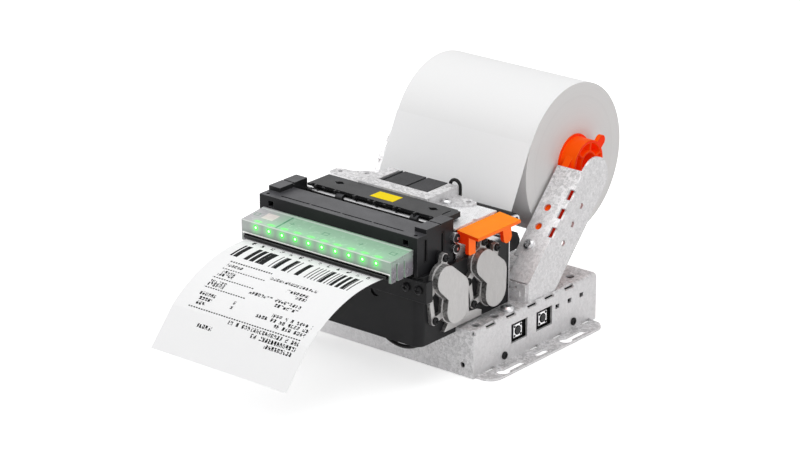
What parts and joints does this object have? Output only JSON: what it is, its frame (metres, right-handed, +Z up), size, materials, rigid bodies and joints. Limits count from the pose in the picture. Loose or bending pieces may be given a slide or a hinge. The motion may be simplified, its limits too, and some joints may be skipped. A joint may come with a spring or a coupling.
{
  "type": "open-frame kiosk receipt printer",
  "caption": "Open-frame kiosk receipt printer with a galvanized base, inclined arms holding an 80 mm paper roll, a cutter and a lit paper exit.",
  "frame": {"origin": "centre of the base's underside, where it stands on its mounting surface", "axes": "+X to the right seen from the paper exit, +Y from the paper exit towards the roll, +Z up"},
  "size_m": [0.137, 0.2438, 0.1112],
  "materials": {
    "galvanized": "spangled zinc",
    "bright_steel": "satin",
    "black_steel": "satin black",
    "board_green": "solder mask",
    "board_black": "solder mask",
    "board_white": "satin",
    "socket_grey": "satin",
    "button_black": "matt",
    "lamp_clear": "clear",
    "orange_plastic": "moulded",
    "core_card": "card",
    "roll_paper": "paper",
    "paper": "paper",
    "receipt_paper": "paper with plain print",
    "black_plastic": "moulded",
    "cover_plastic": "moulded",
    "guide_plastic": "moulded",
    "cable_black": "insulated wire",
    "frosted": "frosted, see-through",
    "lamp_green": "lit",
    "chrome": "polished",
    "rubber": "ground",
    "gear_plastic": "moulded",
    "brass": "turned",
    "motor_steel": "plated",
    "die_cast": "cast and tumbled",
    "blade_steel": "ground",
    "deck_steel": "bright speckled",
    "dark_heat_sink": "black anodised"
  },
  "bodies": {
    "base": {"base_chassis": "galvanized", "base_bottom": "galvanized", "black_screws": "black_steel", "pan_screws": "bright_steel", "control_board": "board_green", "rear_sockets": "socket_grey", "switch_board": "board_black", "switch_bodies": "bright_steel", "status_leds": "lamp_clear", "arm_right": "galvanized", "arm_left": "galvanized", "roll_holder_right": "orange_plastic", "roll_holder_left": "orange_plastic", "paper_web": "paper", "receipt": "receipt_paper", "side_frame_right": "bright_steel", "side_frame_left": "bright_steel", "lower_housing": "black_plastic", "front_strap": "black_steel", "sensor_harness": "cable_black", "upper_cover": "cover_plastic", "led_bezel": "frosted", "led_board": "board_white", "bezel_leds": "lamp_green", "feed_motor": "motor_steel", "eject_motor": "motor_steel", "gear_cover_front": "die_cast", "gear_cover_rear": "die_cast", "cross_shaft": "chrome", "shaft_clips": "cover_plastic", "fixed_blade": "blade_steel", "paper_bed": "black_plastic", "side_pins": "bright_steel", "latch_bushes": "black_plastic", "rear_chute": "black_plastic"},
    "roll": {"paper_roll": "roll_paper", "paper_core": "core_card"},
    "platen": {"platen_shaft": "chrome", "platen_rubber": "rubber", "platen_gear": "gear_plastic"},
    "feed_idler": {"feed_idler": "gear_plastic"},
    "feed_pinion": {"feed_pinion": "brass"},
    "eject": {"eject_shaft": "chrome", "eject_rollers": "rubber", "eject_gear": "gear_plastic"},
    "eject_idler": {"eject_idler": "gear_plastic"},
    "eject_pinion": {"eject_pinion": "brass"},
    "pinch": {"pinch_rollers": "rubber"},
    "cutter": {"moving_blade": "blade_steel"},
    "head_unit": {"head_frame": "deck_steel", "paper_guide": "guide_plastic", "top_bracket": "galvanized", "heat_sink": "dark_heat_sink", "print_head": "dark_heat_sink", "head_cable": "cable_black", "bracket_screws": "bright_steel"},
    "lever": {"release_lever": "orange_plastic"},
    "feed_button": {"feed_button": "button_black"},
    "reset_button": {"reset_button": "button_black"}
  },
  "joints": [
    {"name": "roll_turn", "type": "hinge", "parent": "base", "child": "roll", "pos_m": [0, 0.05277, 0.07402], "axis": [1, 0, 0], "continuous": true},
    {"name": "platen_turn", "type": "hinge", "parent": "base", "child": "platen", "pos_m": [0, -0.032, 0.0505], "axis": [1, 0, 0], "continuous": true},
    {"name": "feed_idler_turn", "type": "hinge", "parent": "base", "child": "feed_idler", "pos_m": [0, -0.0248, 0.04328], "axis": [1, 0, 0], "continuous": true},
    {"name": "feed_pinion_turn", "type": "hinge", "parent": "base", "child": "feed_pinion", "pos_m": [0, -0.0242, 0.0349], "axis": [1, 0, 0], "continuous": true},
    {"name": "eject_turn", "type": "hinge", "parent": "base", "child": "eject", "pos_m": [0, -0.06, 0.051], "axis": [1, 0, 0], "continuous": true},
    {"name": "eject_idler_turn", "type": "hinge", "parent": "base", "child": "eject_idler", "pos_m": [0, -0.0528, 0.04378], "axis": [1, 0, 0], "continuous": true},
    {"name": "eject_pinion_turn", "type": "hinge", "parent": "base", "child": "eject_pinion", "pos_m": [0, -0.0522, 0.0354], "axis": [1, 0, 0], "continuous": true},
    {"name": "pinch_turn", "type": "hinge", "parent": "base", "child": "pinch", "pos_m": [0, -0.06, 0.0603], "axis": [1, 0, 0], "continuous": true},
    {"name": "cutter_lift", "type": "slide", "parent": "base", "child": "cutter", "axis": [0, 0, 1], "range_m": [0, 0.005]},
    {"name": "head_unit_lift", "type": "hinge", "parent": "base", "child": "head_unit", "pos_m": [0, -0.0175, 0.063], "axis": [-1, 0, 0], "range_deg": [0, 40]},
    {"name": "lever_lift", "type": "hinge", "parent": "base", "child": "lever", "pos_m": [0, -0.0155, 0.0585], "axis": [-1, 0, 0], "range_deg": [0, 35]},
    {"name": "feed_button_press", "type": "slide", "parent": "base", "child": "feed_button", "axis": [-1, 0, 0], "range_m": [0, 0.0003], "stiffness_N_per_m": 1500},
    {"name": "reset_button_press", "type": "slide", "parent": "base", "child": "reset_button", "axis": [-1, 0, 0], "range_m": [0, 0.0003], "stiffness_N_per_m": 1500}
  ],
  "couplings": [
    {"joint": "feed_idler_turn", "follows": "platen_turn", "ratio": -0.96154},
    {"joint": "feed_pinion_turn", "follows": "platen_turn", "ratio": 1.5625},
    {"joint": "eject_idler_turn", "follows": "eject_turn", "ratio": -0.96154},
    {"joint": "eject_pinion_turn", "follows": "eject_turn", "ratio": 1.5625},
    {"joint": "pinch_turn", "follows": "eject_turn", "ratio": -1.7667}
  ]
}
